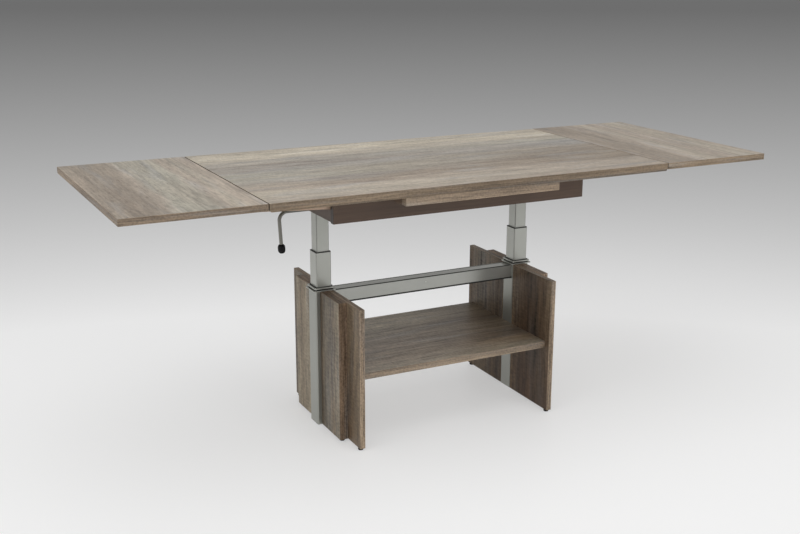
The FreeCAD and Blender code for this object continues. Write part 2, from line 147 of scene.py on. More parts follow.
def handling_group():
    """Uneven gloss from wiping and handling: wide soft patches and small dabs, as a roughness."""
    takes = {"Vector": "Vector", "Dull": "Float", "Range": "Float"}
    tree, takes, gives = new_group("handling", takes, {"Roughness": "Float"})
    patches = spots(tree, takes["Vector"], (9, 9, 9), 3)
    dabs = spots(tree, takes["Vector"], (70, 70, 70), 2)
    both = calc(tree, "MULTIPLY_ADD", dabs, 0.4, patches)
    spread = calc(tree, "MULTIPLY", calc(tree, "SUBTRACT", both, 0.7), takes["Range"])
    tree.links.new(calc(tree, "ADD", takes["Dull"], spread), gives["Roughness"])
    return tree


handling = handling_group()


def handled(tree, shader, dull, spread):
    """Uneven gloss of the handling group on a shader."""
    gloss = grouped(tree, handling, {"Vector": place_of(tree), "Dull": dull, "Range": spread})
    tree.links.new(gloss["Roughness"], shader.inputs["Roughness"])


def moulded(name, dark, light):
    """Nylon from a spark-eroded mould: fine even pitting and a dull sheen."""
    material, tree, shader = new_finish(name, {"Specular IOR Level": 0.2})
    pits = spots(tree, place_of(tree), (1600, 1600, 1600), 1)
    shade = mixed(tree, pits, dark, light)
    tree.links.new(shade, shader.inputs["Base Color"])
    handled(tree, shader, dull=0.42, spread=0.25)
    raised(tree, shader, pits, depth=0.00005)
    return material


def turned(radius, height, sides):
    """Rings of points: each profile point goes round the Z axis in equal steps, so a point is the
    radius times the cosine and sine of its angle, at the profile's height."""
    angle = np.linspace(0, 2 * np.pi, sides, endpoint=False)
    flat = np.stack([np.cos(angle), np.sin(angle)], axis=-1)
    rings = np.zeros((len(radius), sides, 3))
    rings[..., :2] = np.asarray(radius)[:, None, None] * flat
    rings[..., 2] = np.asarray(height)[:, None]
    return rings


def skinned(name, rings, body, material, hollow=False, crease=40.0):
    """A closed skin over rings of points, or over several equal sets of them: each point is joined
    to its neighbours in its ring and in the next ring. A flat face closes the first and the last
    ring, or the last ring joins the first where the section is hollow."""
    sets = rings.reshape(-1, *rings.shape[-3:])
    index = np.arange(sets[..., 0].size).reshape(sets.shape[:3])
    beside = np.roll(index, -1, axis=2)
    quads = np.stack([index, beside, np.roll(beside, -1, axis=1), np.roll(index, -1, axis=1)], axis=-1)
    quads = quads if hollow else quads[:, :-1]
    faces = quads.reshape(-1, 4).tolist()
    if not hollow:
        faces += index[:, 0, ::-1].tolist() + index[:, -1].tolist()
    mesh = bpy.data.meshes.new(name)
    mesh.from_pydata(sets.reshape(-1, 3).tolist(), [], faces)
    mesh.shade_smooth()
    mesh.set_sharp_from_angle(angle=math.radians(crease))
    mesh.materials.append(material)
    piece = bpy.data.objects.new(name, mesh)
    bpy.context.scene.collection.objects.link(piece)
    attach(piece, body)
    return piece


def quarter(steps):
    """Angles from 0 to a right angle."""
    return np.linspace(0, np.pi / 2, steps)


def corners_of(node_name):
    """A node's lowest and highest corner."""
    return [np.array(corner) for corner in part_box(node_name)]


def glide_place(panel):
    """Plan position of a glide: the middle of the panel's thickness, set in from its free end."""
    low, high = corners_of(panel)
    end = high[1] if high[1] > -low[1] else low[1]
    return [(low[0] + high[0]) / 2, end - math.copysign(glide_inset, end), 0.0]


panel_names = [f"{side}_{end}_{layer}_panel" for side in ("left", "right")
               for end in ("front", "back") for layer in ("inner", "outer")]
black = moulded("moulded_black", tone(9, 9, 11), tone(19, 18, 21))
glide_turn = quarter(glide_steps)
glide_radii = np.append(glide_radius - glide_rim + glide_rim * np.sin(glide_turn), glide_radius)
glide_heights = np.append(glide_rim - glide_rim * np.cos(glide_turn), corners_of("glides")[1][2])
glide_places = np.array([glide_place(panel) for panel in panel_names])
glide_rings = turned(glide_radii, glide_heights, glide_sides) + glide_places[:, None, None]
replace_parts(skinned("nylon_glides", glide_rings, "base", black), "glides")

# Base panels: eight upright chipboard panels with a printed driftwood decor, grain upright, and
# the same decor as a thin band round their edges. They stand in pairs beside each column.
board_ease = 0.0010
board_steps = 4
full_tilt = math.radians(89)
edge_fineness = 3.0
edge_contrast = 0.5
face_cosine = 0.97
end_cosine = 0.9
figure_mean = 1.61
streak_wander = 0.085
arris_trim_highlight = 0.3
panel_contrast = 1.75
panel_sheen = 0.25
panel_shift = 1.7
decor_tones = {"cream": tone(192, 182, 163), "sand": tone(174, 164, 148), "rose": tone(165, 152, 138),
               "sage": tone(161, 156, 142), "mist": tone(152, 147, 141), "fawn": tone(154, 140, 125),
               "drab": tone(138, 125, 111), "hazel": tone(131, 115, 97), "moss": tone(142, 131, 112),
               "taupe": tone(121, 106, 87), "amber": tone(126, 102, 76), "slate": tone(112, 106, 95),
               "umber": tone(90, 73, 56), "russet": tone(84, 62, 45), "walnut": tone(70, 56, 43)}
band_tones = {"pale": (tone(111, 95, 79), tone(158, 140, 119)),
              "warm": (tone(97, 82, 66), tone(140, 123, 102)),
              "dark": (tone(102, 84, 67), tone(147, 125, 104))}
pore_brown = tone(72, 58, 47)
# Painted shade for end faces that lie in a seam between top and leaf.
seam_shade_brown = tone(24, 18, 14)
# Pale of the trimmed arris, also a painted highlight on arrises that face up.
trim_and_highlight_pale = tone(176, 164, 147)


def weighted(tree, *terms):
    """A sum of values, each times its weight."""
    total = 0.0
    for value, weight in terms:
        total = calc(tree, "MULTIPLY_ADD", value, weight, total)
    return total


def oak_wander_group():
    """How far the print's streaks stray from a straight run, from about -1 to 1: a slow wander with a
    ragged edge on it; and how strong they are, as they fade in and out. X runs along the grain."""
    takes, gives = {"Vector": "Vector"}, {"Wander": "Float", "Strength": "Float"}
    tree, takes, gives = new_group("oak_wander", takes, gives)
    slow = graded(tree, spots(tree, takes["Vector"], (1.6, 6, 1), 2), 0.3, 0.7, -0.55, 0.55)
    ragged = graded(tree, spots(tree, takes["Vector"], (4.5, 40, 1), 4, 0.62), 0.3, 0.7, -0.45, 0.45)
    tree.links.new(calc(tree, "ADD", slow, ragged), gives["Wander"])
    strength = graded(tree, spots(tree, takes["Vector"], (2.4, 11, 5), 2), 0.34, 0.62, 0.45, 1.0)
    tree.links.new(strength, gives["Strength"])
    return tree


def oak_figure_group():
    """Figure of weathered oak on a streak colour: grain lines of all widths, pale flashes, dark checks,
    fine fibres, pores, grey smudges and faint saw marks. X of the vector runs along the grain."""
    takes = {"Vector": "Vector", "Streak": "Color", "Contrast": "Float"}
    gives = {"Color": "Color", "Roughness": "Float", "Height": "Float"}
    tree, takes, gives = new_group("oak_figure", takes, gives)
    vector = takes["Vector"]
    lines = spots(tree, vector, (2.0, 28, 1), 6, 0.66)
    grain = spots(tree, vector, (10, 116, 1), 3, 0.62)
    fibres = spots(tree, vector, (14, 380, 1), 3)
    saw = spots(tree, vector, (170, 60, 1), 2)
    flashes = graded(tree, spots(tree, vector, (1.6, 30, 2), 4), 0.55, 0.72, 0, 1)
    checks = graded(tree, spots(tree, vector, (2.0, 48, 3), 5, 0.6), 0.56, 0.72, 0, 1)
    pores = graded(tree, spots(tree, vector, (30, 280, 1), 1), 0.56, 0.70, 0, 1)
    smudges = graded(tree, spots(tree, vector, (3.5, 24, 1), 3), 0.52, 0.72, 1, 0.6)
    swing = weighted(tree, (lines, 1.15), (grain, 1.2), (fibres, 0.3), (saw, 0.7))
    swing = weighted(tree, (swing, 1.0), (flashes, 0.14), (checks, -0.26))
    swing = calc(tree, "SUBTRACT", swing, figure_mean)
    shade = calc(tree, "MULTIPLY_ADD", swing, takes["Contrast"], 1.0)
    greyed = {"Color": takes["Streak"], "Saturation": smudges}
    tinted = node(tree, "HueSaturation", greyed).outputs[0]
    shaded = node(tree, "VectorMath", {0: tinted, "Scale": shade}, operation="SCALE").outputs[0]
    colour = mixed(tree, calc(tree, "MULTIPLY", pores, 0.32), shaded, pore_brown)
    tree.links.new(colour, gives["Color"])
    tree.links.new(calc(tree, "MULTIPLY_ADD", fibres, 0.16, 0.36), gives["Roughness"])
    tree.links.new(weighted(tree, (fibres, 1.0), (saw, 0.3), (pores, -1.0)), gives["Height"])
    return tree


oak_wander = oak_wander_group()
oak_figure = oak_figure_group()


def grain_frame(tree, grain, across, shift):
    """Where a point lies on the decor's sheet, with the grain along X: the face has its own sheet, and
    an edge has a band of finer grain that runs along it. Also gives the edge mask, the places along and
    across the board, and the way it faces."""
    thick = "xyz".replace(grain, "").replace(across, "")
    place = split(tree, place_of(tree))
    facing = split(tree, facing_of(tree))
    along, over, deep = (place[axis.upper()] for axis in (grain, across, thick))
    face = node(tree, "CombineXYZ", {0: calc(tree, "ADD", along, shift), 1: over, 2: shift}).outputs[0]
    run = calc(tree, "ADD", calc(tree, "ADD", along, over), shift)
    fine = calc(tree, "MULTIPLY", deep, edge_fineness)
    band = node(tree, "CombineXYZ", {0: run, 1: fine, 2: shift}).outputs[0]
    edge = calc(tree, "LESS_THAN", calc(tree, "ABSOLUTE", facing[thick.upper()]), face_cosine)
    sheet = node(tree, "Mix", {0: edge, 4: face, 5: band}, data_type="VECTOR").outputs[1]
    return sheet, edge, along, over, facing


def streak_ramp(tree, share, streaks):
    """The colours of named streaks, evenly spaced from 0 to 1."""
    ramp = node(tree, "ValToRGB", {0: share})
    stops = ramp.color_ramp.elements
    names = streaks.split()
    for place, streak in enumerate(names[1:-1], 1):
        stops.new(place / (len(names) - 1)).color = decor_tones[streak]
    stops[0].color = decor_tones[names[0]]
    stops[len(names) - 1].color = decor_tones[names[-1]]
    return ramp.outputs[0]


def mean_tone(streaks):
    """The colour that named streaks have on average."""
    return tuple(np.mean([decor_tones[streak] for streak in streaks.split()], axis=0).tolist())


def edge_band(tree, wander, endwise, band, end_shade):
    """The edge band's brown, which varies as the streaks wander, and painted shade on the end faces."""
    browns = mixed(tree, graded(tree, wander, -1, 1, 0, 1), *band_tones[band])
    end_shade_share = graded(tree, calc(tree, "ABSOLUTE", endwise), end_cosine, face_cosine, 0, end_shade)
    return mixed(tree, end_shade_share, browns, seam_shade_brown)


def driftwood(node_name, grain, across, streaks, shift,
              band="warm", contrast=1.0, specular=0.5, end_shade=0.0):
    """Printed driftwood decor on one board. The streaks are read across the board, from its lower
    to its higher side, and wander a little; they change from those of the grain's lower end to those
    of its higher end. The edge band is browner. Its upward arrises are paler, partly the trim's own pale
    line and partly a painted highlight where light falls on them; its end faces may take painted shade."""
    material, tree, shader = new_finish("driftwood_" + node_name, {"Specular IOR Level": specular})
    sheet, edge, along, over, facing = grain_frame(tree, grain, across, shift)
    low, high = corners_of(node_name)
    first, last = ("xyz".index(axis) for axis in (across, grain))
    drift = grouped(tree, oak_wander, {"Vector": sheet})
    straight = graded(tree, over, low[first], high[first], 0, 1)
    share = calc(tree, "MULTIPLY_ADD", drift["Wander"], streak_wander, straight)
    ends = [mixed(tree, drift["Strength"], mean_tone(end), streak_ramp(tree, share, end))
            for end in streaks]
    streaking = mixed(tree, graded(tree, along, low[last], high[last], 0, 1), ends[0], ends[-1])
    banding = edge_band(tree, drift["Wander"], facing[grain.upper()], band, end_shade)
    streak = mixed(tree, edge, streaking, banding)
    depth = calc(tree, "MULTIPLY_ADD", edge, edge_contrast, contrast)
    figure = grouped(tree, oak_figure, {"Vector": sheet, "Streak": streak, "Contrast": depth})
    arris = node(tree, "Attribute", attribute_name="arris").outputs["Fac"]
    # Pale on upward arrises only: partly the trim, partly a painted highlight.
    pale_arris = calc(tree, "MULTIPLY", arris, graded(tree, facing["Z"], -0.2, 0.0, 0, arris_trim_highlight))
    colour = mixed(tree, pale_arris, figure["Color"], trim_and_highlight_pale)
    tree.links.new(colour, shader.inputs["Base Color"])
    tree.links.new(figure["Roughness"], shader.inputs["Roughness"])
    raised(tree, shader, figure["Height"], depth=0.00012)
    return material


def rounded_loops(middle, half, corner, height):
    """Level loops, one for each height: a rectangle with rounded corners, made of a quarter circle
    about each corner's centre, which lies the corner's radius in from both sides. Returns points and
    outward directions."""
    turn = (np.arange(4)[:, None] * np.pi / 2 + quarter(board_steps)).ravel()
    outward = np.stack([np.cos(turn), np.sin(turn)], axis=-1)
    signs = np.repeat(np.array([[1, 1], [-1, 1], [-1, -1], [1, -1]]), board_steps, axis=0)
    corner = np.asarray(corner)[:, None, None]
    loops = np.zeros((len(height), len(turn), 3))
    loops[..., :2] = middle + signs * (np.asarray(half)[:, None] - corner) + corner * outward
    loops[..., 2] = np.asarray(height)[:, None]
    return loops, outward


def board_section(low, high, end_bevel):
    """The rim's section from the lower to the upper face: how far the surface tilts up, the height of
    the arris's centre, and how far the ends are drawn in. With a bevel the ends slope under at 45
    degrees."""
    tilt = np.linspace(0, full_tilt, board_steps)
    if end_bevel:
        tilts = np.concatenate([[-full_tilt, -np.pi / 4, -np.pi / 4, 0.0], tilt])
        levels = np.array([low, low + end_bevel, high - 2 * board_ease]) + board_ease
        heights = np.repeat(levels, [2, 2, board_steps])
        drawn_in = np.repeat([end_bevel, 0.0], [2, 2 + board_steps])
        return tilts, heights, drawn_in
    tilts = np.concatenate([-tilt[::-1], tilt])
    heights = np.repeat([low + board_ease, high - board_ease], board_steps)
    return tilts, heights, np.zeros(2 * board_steps)


def eased_board(node_name, body, material, end_bevel=0.0):
    """A board with all its arrises rounded to one radius: loops that shrink and rise along a quarter
    circle at the lower and upper faces. The normals follow the quarter circles, and the arris attribute
    is 1 half way round each."""
    low, high = corners_of(node_name)
    tilts, heights, drawn_in = board_section(low[2], high[2], end_bevel)
    corner = board_ease * np.cos(tilts)
    half = (high[:2] - low[:2]) / 2 - board_ease + corner[:, None]
    half[:, 0] -= drawn_in
    rise = heights + board_ease * np.sin(tilts)
    loops, outward = rounded_loops((low[:2] + high[:2]) / 2, half, corner, rise)
    piece = skinned(node_name + "_board", loops, body, material)
    level = np.abs(tilts) == full_tilt
    flat = np.where(level, 0, np.cos(tilts))[:, None, None] * outward
    up = np.where(level, np.sign(tilts), np.sin(tilts))[:, None, None]
    up = np.broadcast_to(up, loops.shape[:2] + (1,))
    facing = np.concatenate([flat, up], axis=-1).reshape(-1, 3)
    piece.data.normals_split_custom_set_from_vertices(facing.tolist())
    arris = np.clip((1 - np.abs(facing).max(axis=1)) / (1 - math.sqrt(0.5)), 0, 1)
    marks = piece.data.attributes.new("arris", "FLOAT", "POINT")
    marks.data.foreach_set("value", arris.astype(np.float32))
    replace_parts(piece, node_name)


panel_streaks = {"left_front_inner": ("taupe umber umber taupe", "taupe taupe umber taupe"),
                 "left_front_outer": ("moss taupe slate walnut",),
                 "left_back_inner": ("umber taupe slate taupe",),
                 "left_back_outer": ("moss moss taupe moss",),
                 "right_front_inner": ("russet walnut russet russet amber",
                                       "taupe umber walnut umber hazel"),
                 "right_front_outer": ("taupe moss slate umber",),
                 "right_back_inner": ("umber umber taupe amber", "umber taupe slate amber"),
                 "right_back_outer": ("umber slate taupe moss",)}
for number, panel in enumerate(panel_names):
    # The outer panels' edges take the darker band: painted shade for edges that lie in shade.
    band = "dark" if "outer" in panel else "pale"
    streaks = panel_streaks[panel.removesuffix("_panel")]
    shift = panel_shift * number
    decor = driftwood(panel, "z", "y", streaks, shift, band, panel_contrast, panel_sheen)
    eased_board(panel, "base", decor)

# Columns: square steel tubes in three stages, sprayed silver-grey. The outer tubes stand between the
# panels; the middle and inner tubes slide in plastic guides, dark grey at the middle tubes' mouths.
painted_shade_grey = tone(36, 36, 35)
flat_cosine = 0.998
bend_cosine = 0.95
low_shade_blend = 0.001
plain_gloss = 0.5
tube_dull = 0.36
tube_metal = 0.75


def silver_spray(name, greys, dull, metallic, bend_shade=0.0, shade_below=0.0):
    """Silver-grey metallic paint: a fine flake, a slight orange peel and uneven gloss. Along a sharp
    bend, and below a height, painted shade darkens it and takes off its metal and gloss: a painted dark
    reflection of the room."""
    material, tree, shader = new_finish(name, {"Metallic": metallic})
    place = place_of(tree)
    colour = mixed(tree, spots(tree, place, (2400, 2400, 2400), 1), *greys)
    if bend_shade:
        facing = node(tree, "VectorMath", {0: facing_of(tree)}, operation="ABSOLUTE").outputs[0]
        sides = split(tree, facing)
        squarest = calc(tree, "MAXIMUM", calc(tree, "MAXIMUM", sides["X"], sides["Y"]), sides["Z"])
        rounded = graded(tree, squarest, flat_cosine, bend_cosine, 0, bend_shade)
        height = split(tree, place)["Z"]
        lowest = graded(tree, height, shade_below, shade_below - low_shade_blend, 0, bend_shade)
        bent = calc(tree, "MAXIMUM", rounded, lowest)
        colour = mixed(tree, bent, colour, painted_shade_grey)
        unshaded = calc(tree, "SUBTRACT", 1.0, bent)
        tree.links.new(calc(tree, "MULTIPLY", unshaded, metallic), shader.inputs["Metallic"])
        gloss = calc(tree, "MULTIPLY", unshaded, plain_gloss)
        tree.links.new(gloss, shader.inputs["Specular IOR Level"])
    tree.links.new(colour, shader.inputs["Base Color"])
    handled(tree, shader, dull=dull, spread=0.14)
    raised(tree, shader, spots(tree, place, (420, 420, 420), 1), depth=0.00003)
    return material


def repainted(material, *node_names):
    """CAD nodes whose shape is right, in a better finish."""
    for name in node_names:
        frame["nodes"][name].material_slots[0].material = material


silver_greys = (tone(176, 177, 170), tone(192, 193, 187))
outer_greys = (tone(155, 156, 149), tone(170, 171, 165))
# The middle and inner tubes take painted shade along their rounded corners.
stage_sprays = {"outer": (outer_greys, 0.0), "mid": (silver_greys, 0.2), "inner": (silver_greys, 0.36)}
silver = silver_spray("silver_spray", silver_greys, tube_dull, tube_metal)
dark_grey = moulded("moulded_grey", tone(44, 44, 43), tone(58, 58, 56))
for stage, (greys, bend_shade) in stage_sprays.items():
    spray = silver_spray("silver_" + stage, greys, tube_dull, tube_metal, bend_shade)
    repainted(spray, f"left_{stage}_tube", f"right_{stage}_tube")
repainted(dark_grey, "left_mid_bushes", "right_mid_bushes")
repainted(black, "inner_tube_bushes", "shaft_bushes", "collar_gaskets")

# Collars: at the top of each outer tube a pressed plate, a black gasket with a wiping lip, and a ring.
# They guide the middle tube; the steel edges are rounded by the press.
collar_ease = 0.0008
collar_gap = 0.0004
collar_corner = 0.0045
collar_hole_corner = 0.0035
wiper_wall = 0.00225
column_x = float(sum(corner[0] for corner in corners_of("right_outer_tube"))) / 2


def pressed_ring(node_name, side, hole):
    """A flat ring with rounded outer edges: loops that run from the hole's lower edge out along the
    underside, round the outside and back over the top to the hole's upper edge."""
    low, high = corners_of(node_name)
    outer = high[:2] - [column_x, 0]
    tilt = np.linspace(-np.pi / 2, np.pi / 2, 2 * board_steps)
    inset = collar_ease * (1 - np.cos(tilt))
    level = np.where(tilt < 0, low[2] + collar_ease, high[2] - collar_ease)
    level = level + collar_ease * np.sin(tilt)
    half = np.concatenate([[[hole, hole]], outer - inset[:, None], [[hole, hole]]])
    corner = np.concatenate([[collar_hole_corner], collar_corner - inset, [collar_hole_corner]])
    height = np.concatenate([[low[2]], level, [high[2]]])
    return rounded_loops(np.array([side * column_x, 0.0]), half, corner, height)[0]


tube_hole = corners_of("right_mid_tube")[1][1] + collar_gap
for layer, hole in (("collar_plates", tube_hole), ("collar_rings", tube_hole + wiper_wall)):
    rings = np.stack([pressed_ring(layer, side, hole) for side in (-1, 1)])
    pressed = skinned("pressed_" + layer, rings, "base", silver, hollow=True)
    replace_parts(pressed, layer)

# Crossbeam: a folded steel channel between the columns with a cover strip let into it, and a plate
# welded on each end. It is sprayed like the columns, but smoother. Painted shade, a painted dark
# reflection, lies along its folds and in a band along its lower edge.
beam_dull = 0.24
beam_metal = 0.6
beam_bend_shade = 0.95
beam_low_shade = 0.006
beam_greys = (tone(166, 167, 161), tone(180, 181, 176))
low_shade_top = corners_of("crossbeam")[0][2] + beam_low_shade
beam_paint = (beam_dull, beam_metal, beam_bend_shade)
beam_spray = silver_spray("bright_silver_spray", beam_greys, *beam_paint, low_shade_top)
# The cover strip takes paler greys than the channel: a painted highlight on the beam's top.
cover_highlight_spray = silver_spray("cover_silver_spray", silver_greys, *beam_paint)
repainted(beam_spray, "crossbeam", "beam_end_plates")
repainted(cover_highlight_spray, "beam_cover")

# Shelf: one chipboard board between the inner panels, in the panels' decor with the grain along the
# table. Its streaks are pale at the left and darker at the right: a painted reflection, bright where it
# would mirror the backdrop and dark where it would mirror the right panels.
shelf_contrast = 1.5
shelf_sheen = 0.8
shelf_shift = 21.0
shelf_streaks = ("sand rose fawn rose rose rose sand cream cream sand",
                 "moss taupe amber umber taupe taupe umber taupe taupe moss")
shelf_decor = driftwood("shelf", "x", "y", shelf_streaks, shelf_shift, "warm", shelf_contrast, shelf_sheen)
eased_board("shelf", "base", shelf_decor)

# Lift drive: a bright steel shaft, mitre gears and spindles, and brass nuts on the posts inside the
# columns. The spindles have a rolled four-start thread, and a thrust collar under each bearing.
thread_lead = 0.010
thread_starts = 4
thread_depth = 0.0009
thread_rows_to_lead = 24
thread_sides = 24
spindle_crest = 0.006
spindle_journal = 0.005
thrust_radius = 0.010
thrust_height = 0.003
thread_runout = 0.004
bearing_play = 0.0003
groove_shade = 0.72


def bright_steel(name, colour, dull):
    """Drawn or turned metal, lightly oiled: faint lines and uneven gloss."""
    material, tree, shader = new_finish(name, {"Metallic": 1.0})
    place = place_of(tree)
    lines = spots(tree, place, (900, 60, 900), 2)
    groove = tuple(groove_shade * part for part in colour[:3]) + (1.0,)
    tree.links.new(mixed(tree, lines, groove, colour), shader.inputs["Base Color"])
    handled(tree, shader, dull=dull, spread=0.2)
    raised(tree, shader, lines, depth=0.00002)
    return material


def threaded_spindle(side_name, side):
    """A spindle with its thread: the radius falls from the crest to the root and rises again, the
    thread's starts times for each turn, and one lead higher after a full turn. Above it are collar and
    journal."""
    low, high = corners_of(side_name + "_spindle")
    shoulder = corners_of("spindle_bearings")[0][2] - bearing_play
    rows = int((high[2] - low[2]) / thread_lead * thread_rows_to_lead)
    height = np.linspace(low[2], high[2], rows)
    angle = np.linspace(0, 2 * np.pi, thread_sides, endpoint=False)
    phase = thread_starts * (height[:, None] / thread_lead - angle / (2 * np.pi))
    wave = np.clip(np.abs(2 * (phase % 1) - 1) * 2 - 0.5, 0, 1)
    plain = height[:, None] > shoulder - thread_runout
    collar = (height[:, None] > shoulder - thrust_height) & (height[:, None] < shoulder)
    radius = np.where(plain, spindle_journal, spindle_crest - thread_depth * wave)
    radius = np.where(collar, thrust_radius, radius)
    rings = np.zeros((*radius.shape, 3))
    rings[..., 0] = side * column_x + radius * np.cos(angle)
    rings[..., 1] = radius * np.sin(angle)
    rings[..., 2] = height[:, None]
    name = side_name + "_thread"
    return skinned(name, rings, side_name + "_screw", steel, crease=55.0)


steel = bright_steel("bright_steel", tone(186, 186, 184), 0.32)
for side_name, side in (("left", -1), ("right", 1)):
    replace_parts(threaded_spindle(side_name, side), side_name + "_spindle")
    repainted(steel, side_name + "_shaft_gear", side_name + "_spindle_gear")
repainted(steel, "cross_shaft", "spindle_posts")
repainted(bright_steel("nut_brass", tone(190, 158, 96), 0.36), "spindle_nuts")
repainted(black, "spindle_bearings")

# Head rails: folded steel trays from apron to apron, welded on top of the inner tubes. The weld is a
# rippled bead round the tube, sprayed over with the rest.
weld_leg = 0.0028
weld_ripple = 0.0022
weld_swell = 0.14
weld_steps = 5
weld_root = 0.0006
weld_points = 160
weld_squareness = 10
repainted(silver, "left_head_rail", "right_head_rail")


def weld_bead(side):
    """A fillet of weld round a tube under its rail: a quarter circle from the tube's side to the rail,
    carried round the tube's squarish outline (a superellipse), with its radius swelling and shrinking
    once for each ripple along the outline."""
    high = corners_of("right_inner_tube")[1]
    tilt = quarter(weld_steps)[:, None]
    turn = np.linspace(0, 2 * np.pi, weld_points, endpoint=False)
    round_path = np.stack([np.cos(turn), np.sin(turn)], axis=-1)
    squared = np.sum(np.abs(round_path) ** weld_squareness, axis=-1) ** (1 / weld_squareness)
    path = high[1] * round_path / squared[:, None]
    run = np.cumsum(np.linalg.norm(np.roll(path, -1, axis=0) - path, axis=-1))
    leg = weld_leg * (1 + weld_swell * np.sin(2 * np.pi * run / weld_ripple))
    reach = leg * np.sin(tilt) - weld_root
    rings = np.zeros((len(tilt), weld_points, 3))
    rings[..., :2] = path + round_path * reach[..., None] + [side * column_x, 0]
    rings[..., 2] = high[2] - leg * np.cos(tilt)
    return rings


weld_rings = np.stack([weld_bead(side) for side in (-1, 1)])
skinned("column_welds", weld_rings, "upper_frame", silver, crease=80.0)

# Crank: a bent steel rod in a bush of the left inner tube, zinc plated, with a black knob that spins
# on it. The knob is a moulded barrel with rounded ends.
knob_sides = 40
knob_rings = 25
knob_shape = 2.8
knob_length_share = 0.97
knob_end_angle = 1.32
knob_pole_angle = 1.42
rod_bend = 0.024
rod_sides = 32
rod_steps = 24
zinc = bright_steel("zinc_rod", tone(142, 140, 133), 0.34)


def joint_axis(name):
    """The direction of a joint."""
    return np.array(next(joint["axis"] for joint in frame["joints"] if joint["name"] == name))


def bent_rod():
    """The crank's rod, swept along a level run out of the tube, an arc and the leaning arm: each point
    is the centre line's point plus the rod's radius, turned round the line's direction there."""
    arm = joint_axis("knob_spin")
    low, high = corners_of("crank")
    radius = high[1]
    level = high[2] - radius
    knob = sum(corners_of("crank_knob")) / 2
    corner = knob + arm * (level - knob[2]) / arm[2]
    outward = np.array([-1.0, 0.0, 0.0])
    down = np.array([0.0, 0.0, -1.0])
    turn = math.acos(arm @ outward)
    angle = np.linspace(0, turn, rod_steps)[:, None]
    centre = corner - outward * rod_bend * math.tan(turn / 2) + down * rod_bend
    arc = centre + rod_bend * (np.sin(angle) * outward - np.cos(angle) * down)
    start = np.array([[high[0], 0.0, level]])
    finish = corner + arm * (level - low[2] - radius * arm[0]) / -arm[2]
    line = np.concatenate([start, arc, finish[None]])
    heading = np.cos(angle) * outward + np.sin(angle) * down
    heading = np.concatenate([outward[None], heading, arm[None]])
    round_rod = turned([radius], [0.0], rod_sides)[0]
    across = np.array([0.0, 1.0, 0.0])
    upward = np.cross(heading, across)[:, None]
    rings = line[:, None] + round_rod[:, :1] * upward + round_rod[:, 1:2] * across
    return skinned("bent_rod", rings, "crank_arm", zinc, crease=60.0)


def barrel_knob():
    """A barrel round the crank arm's axis: its radius and height keep to a superellipse, so that the
    sides are nearly straight and the ends are rounded."""
    axis = joint_axis("knob_spin")
    low, high = corners_of("crank_knob")
    middle = (low + high) / 2
    length = (high[2] - low[2]) / abs(axis[2]) * knob_length_share
    angle = np.linspace(-knob_end_angle, knob_end_angle, knob_rings)
    level = np.sin(angle) / math.sin(knob_pole_angle)
    radius = high[1] * (1 - np.abs(level) ** knob_shape) ** (1 / knob_shape)
    across = np.array([0.0, 1.0, 0.0])
    to_arm = np.stack([np.cross(across, axis), across, axis])
    points = turned(radius, level * length / 2, knob_sides) @ to_arm + middle
    return skinned("barrel_knob", points, "knob", black, crease=60.0)


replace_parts(bent_rod(), "crank")
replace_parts(barrel_knob(), "crank_knob")

# Aprons: four chipboard boards in a smooth dark brown foil, edged all round, which frame the head
# rails. The end aprons are notched for the runners.
foil_dark = tone(77, 61, 51)
foil_light = tone(94, 76, 63)
foil_arris = tone(128, 110, 96)
foil_band = tone(48, 40, 35)
foil_arris_wear = 0.3
foil_end_shade = 0.8
foil_grain = (3, 3, 120)


def dark_foil(name, per_metre, end_shade=0.0, end_tone=foil_band):
    """Dark brown printed foil: faint streaks along the board, an even sheen and slightly paler arrises,
    and a share of another tone on the end faces."""
    material, tree, shader = new_finish(name, {"Specular IOR Level": 0.45})
    place = place_of(tree)
    streaks = spots(tree, place, per_metre, 4)
    fibres = spots(tree, place, tuple(6 * part for part in per_metre), 2)
    both = graded(tree, weighted(tree, (streaks, 1.0), (fibres, 0.4)), 0.4, 1.0, 0, 1)
    arris = node(tree, "Attribute", attribute_name="arris").outputs["Fac"]
    pale_arris = calc(tree, "MULTIPLY", arris, foil_arris_wear)
    endwise = calc(tree, "ABSOLUTE", split(tree, facing_of(tree))["X"])
    end_tone_share = calc(tree, "MULTIPLY", endwise, end_shade)
    plain = mixed(tree, end_tone_share, mixed(tree, both, foil_dark, foil_light), end_tone)
    tree.links.new(mixed(tree, pale_arris, plain, foil_arris), shader.inputs["Base Color"])
    handled(tree, shader, dull=0.4, spread=0.2)
    raised(tree, shader, fibres, depth=0.00004)
    return material


long_foil = dark_foil("long_foil", foil_grain, foil_end_shade)
for end in ("front", "back"):
    eased_board(end + "_apron", "upper_frame", long_foil)
repainted(dark_foil("end_foil", foil_grain), "left_end_apron", "right_end_apron")

# Centre board and lippings: a dark fixed board between the places of the stored leaves, with a decor
# lipping on its front and back edge. The loose top rests on it.
lipping_shift = 31.0
board_grain = (60, 3, 120)
# Its end faces are paler: painted light on ends that lie in the top's shade.
board_end_painted_light = tone(112, 95, 82)
repainted(dark_foil("board_foil", board_grain, 1.0, board_end_painted_light), "centre_board")
for number, end in enumerate(("front", "back")):
    lipping = end + "_lipping"
    decor = driftwood(lipping, "x", "y", ("rose moss rose",), lipping_shift + number, "pale")
    eased_board(lipping, "upper_frame", decor)

# Leaves and runners: each leaf is a decor board on two sloped beech runners, screwed to it from below.
# A peg through each runner stops the leaf against the end apron.
screw_radius = 0.004
screw_dome = 0.0006
screw_reaches = (0.65, 0.77, 0.885)
screw_sides = 32
recess_share = 0.8
recess_mean = 0.75
recess_swell = 0.4
runner_tip_length = 0.060
leaf_shift = 43.0
leaf_shift_step = 3.0


